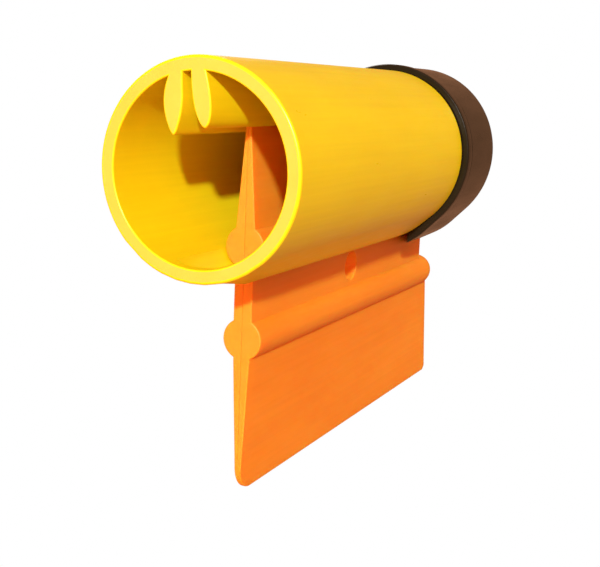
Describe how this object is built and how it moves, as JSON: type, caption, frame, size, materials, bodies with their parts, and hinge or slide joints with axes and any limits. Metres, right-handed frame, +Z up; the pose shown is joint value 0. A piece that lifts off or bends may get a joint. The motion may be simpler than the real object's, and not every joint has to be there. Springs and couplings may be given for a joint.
{
  "type": "pheromone insect trap",
  "caption": "Tubular insect trap with an open mouth, clip ribs for a lure, a finned keel that slides in a slot under the tube and a push-on rear cap.",
  "frame": {"origin": "centre of the bounding box's base, on the keel's lowest edge", "axes": "+Y runs along the tube from the open mouth to the cap, +Z is up, and the keel's plane is YZ"},
  "size_m": [0.043, 0.1382, 0.0873],
  "materials": {
    "barrel_plastic": "glossy yellow moulded plastic",
    "keel_plastic": "satin orange-red extruded plastic",
    "cap_plastic": "glossy dark olive-brown plastic",
    "carrier_plastic": "satin white plastic",
    "septum_rubber": "matt grey rubber"
  },
  "bodies": {
    "barrel": {"barrel": "barrel_plastic"},
    "keel": {"keel": "keel_plastic"},
    "end_cap": {"end_cap": "cap_plastic"},
    "lure": {"lure_carrier": "carrier_plastic", "lure_septum": "septum_rubber"}
  },
  "joints": [
    {"name": "keel_slide", "type": "slide", "parent": "barrel", "child": "keel", "axis": [0, 1, 0], "range_m": [-0.018, 0.011]},
    {"name": "cap_slide", "type": "slide", "parent": "barrel", "child": "end_cap", "axis": [0, 1, 0], "range_m": [0, 0.03]},
    {"name": "lure_slide", "type": "slide", "parent": "barrel", "child": "lure", "axis": [0, -1, 0], "range_m": [0, 0.09]}
  ]
}
